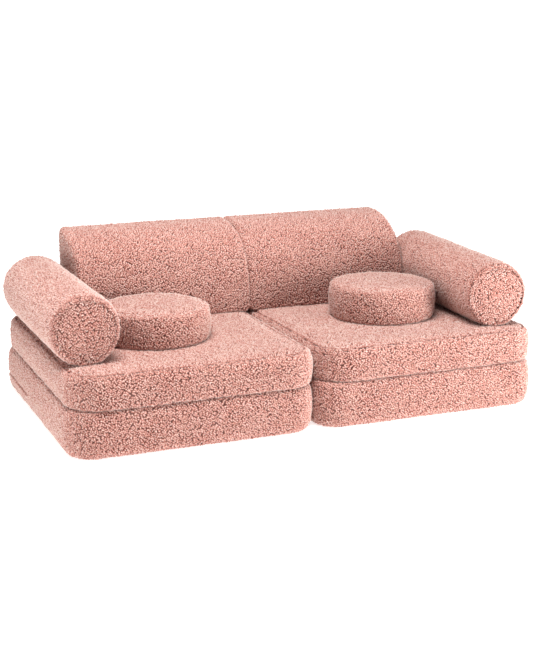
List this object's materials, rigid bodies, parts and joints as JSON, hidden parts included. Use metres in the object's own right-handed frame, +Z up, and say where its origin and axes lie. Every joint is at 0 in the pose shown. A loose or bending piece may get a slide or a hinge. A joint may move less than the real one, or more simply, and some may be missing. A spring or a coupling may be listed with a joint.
{
  "type": "modular foam play sofa",
  "caption": "Modular foam play sofa: base and seat slabs side by side with loose backrests, bolsters and round cushions, each a zipped curly-pile cover over a foam core.",
  "frame": {"origin": "on the floor, under the middle of the whole sofa's box", "axes": "+X to the right as seen from the front, +Y to the back, +Z up"},
  "size_m": [1.575, 0.898, 0.5256],
  "materials": {
    "cover": "dusty pink curly pile fabric, matt",
    "foam": "off-white open-cell foam, matt",
    "zip": "woven pink tape with a moulded coil",
    "slider": "pink enamel, satin"
  },
  "bodies": {
    "left_base": {"left_base_cover": "cover", "left_base_foam": "foam", "left_base_zip": "zip"},
    "left_base_slider": {"left_base_zip_slider": "slider"},
    "right_base": {"right_base_cover": "cover", "right_base_foam": "foam", "right_base_zip": "zip"},
    "right_base_slider": {"right_base_zip_slider": "slider"},
    "left_seat": {"left_seat_cover": "cover", "left_seat_foam": "foam", "left_seat_zip": "zip"},
    "left_seat_slider": {"left_seat_zip_slider": "slider"},
    "right_seat": {"right_seat_cover": "cover", "right_seat_foam": "foam", "right_seat_zip": "zip"},
    "right_seat_slider": {"right_seat_zip_slider": "slider"},
    "left_backrest": {"left_backrest_cover": "cover", "left_backrest_foam": "foam", "left_backrest_zip": "zip"},
    "left_backrest_slider": {"left_backrest_zip_slider": "slider"},
    "right_backrest": {"right_backrest_cover": "cover", "right_backrest_foam": "foam", "right_backrest_zip": "zip"},
    "right_backrest_slider": {"right_backrest_zip_slider": "slider"},
    "left_bolster": {"left_bolster_cover": "cover", "left_bolster_foam": "foam", "left_bolster_zip": "zip"},
    "left_bolster_slider": {"left_bolster_zip_slider": "slider"},
    "right_bolster": {"right_bolster_cover": "cover", "right_bolster_foam": "foam", "right_bolster_zip": "zip"},
    "right_bolster_slider": {"right_bolster_zip_slider": "slider"},
    "left_round_cushion": {"left_round_cushion_cover": "cover", "left_round_cushion_foam": "foam", "left_round_cushion_zip": "zip"},
    "left_round_cushion_slider": {"left_round_cushion_zip_slider": "slider"},
    "right_round_cushion": {"right_round_cushion_cover": "cover", "right_round_cushion_foam": "foam", "right_round_cushion_zip": "zip"},
    "right_round_cushion_slider": {"right_round_cushion_zip_slider": "slider"}
  },
  "joints": [
    {"name": "right_module_pull_away", "type": "slide", "parent": "left_base", "child": "right_base", "axis": [1, 0, 0], "range_m": [0, 0.4]},
    {"name": "left_seat_lift", "type": "slide", "parent": "left_base", "child": "left_seat", "axis": [0, 0, 1], "range_m": [0, 0.3]},
    {"name": "right_seat_lift", "type": "slide", "parent": "right_base", "child": "right_seat", "axis": [0, 0, 1], "range_m": [0, 0.3]},
    {"name": "left_backrest_lift", "type": "slide", "parent": "left_seat", "child": "left_backrest", "axis": [0, 0, 1], "range_m": [0, 0.35]},
    {"name": "right_backrest_lift", "type": "slide", "parent": "right_seat", "child": "right_backrest", "axis": [0, 0, 1], "range_m": [0, 0.35]},
    {"name": "left_bolster_lift", "type": "slide", "parent": "left_seat", "child": "left_bolster", "axis": [0, 0, 1], "range_m": [0, 0.3]},
    {"name": "right_bolster_lift", "type": "slide", "parent": "right_seat", "child": "right_bolster", "axis": [0, 0, 1], "range_m": [0, 0.3]},
    {"name": "left_round_cushion_lift", "type": "slide", "parent": "left_seat", "child": "left_round_cushion", "axis": [0, 0, 1], "range_m": [0, 0.3]},
    {"name": "right_round_cushion_lift", "type": "slide", "parent": "right_seat", "child": "right_round_cushion", "axis": [0, 0, 1], "range_m": [0, 0.3]},
    {"name": "left_base_unzip", "type": "slide", "parent": "left_base", "child": "left_base_slider", "axis": [-1, 0, 0], "range_m": [0, 0.56]},
    {"name": "right_base_unzip", "type": "slide", "parent": "right_base", "child": "right_base_slider", "axis": [-1, 0, 0], "range_m": [0, 0.56]},
    {"name": "left_seat_unzip", "type": "slide", "parent": "left_seat", "child": "left_seat_slider", "axis": [-1, 0, 0], "range_m": [0, 0.48]},
    {"name": "right_seat_unzip", "type": "slide", "parent": "right_seat", "child": "right_seat_slider", "axis": [-1, 0, 0], "range_m": [0, 0.48]},
    {"name": "left_backrest_unzip", "type": "slide", "parent": "left_backrest", "child": "left_backrest_slider", "axis": [-1, 0, 0], "range_m": [0, 0.44]},
    {"name": "right_backrest_unzip", "type": "slide", "parent": "right_backrest", "child": "right_backrest_slider", "axis": [-1, 0, 0], "range_m": [0, 0.44]},
    {"name": "left_bolster_unzip", "type": "slide", "parent": "left_bolster", "child": "left_bolster_slider", "axis": [0, 1, 0], "range_m": [0, 0.52]},
    {"name": "right_bolster_unzip", "type": "slide", "parent": "right_bolster", "child": "right_bolster_slider", "axis": [0.0785, 0.9969, 0], "range_m": [0, 0.52]},
    {"name": "left_round_cushion_unzip", "type": "hinge", "parent": "left_round_cushion", "child": "left_round_cushion_slider", "pos_m": [-0.40945, -0.074, 0.3006], "axis": [0, 0, 1], "range_deg": [0, 104]},
    {"name": "right_round_cushion_unzip", "type": "hinge", "parent": "right_round_cushion", "child": "right_round_cushion_slider", "pos_m": [0.37578, -0.074, 0.3006], "axis": [0, 0, 1], "range_deg": [0, 104]}
  ]
}
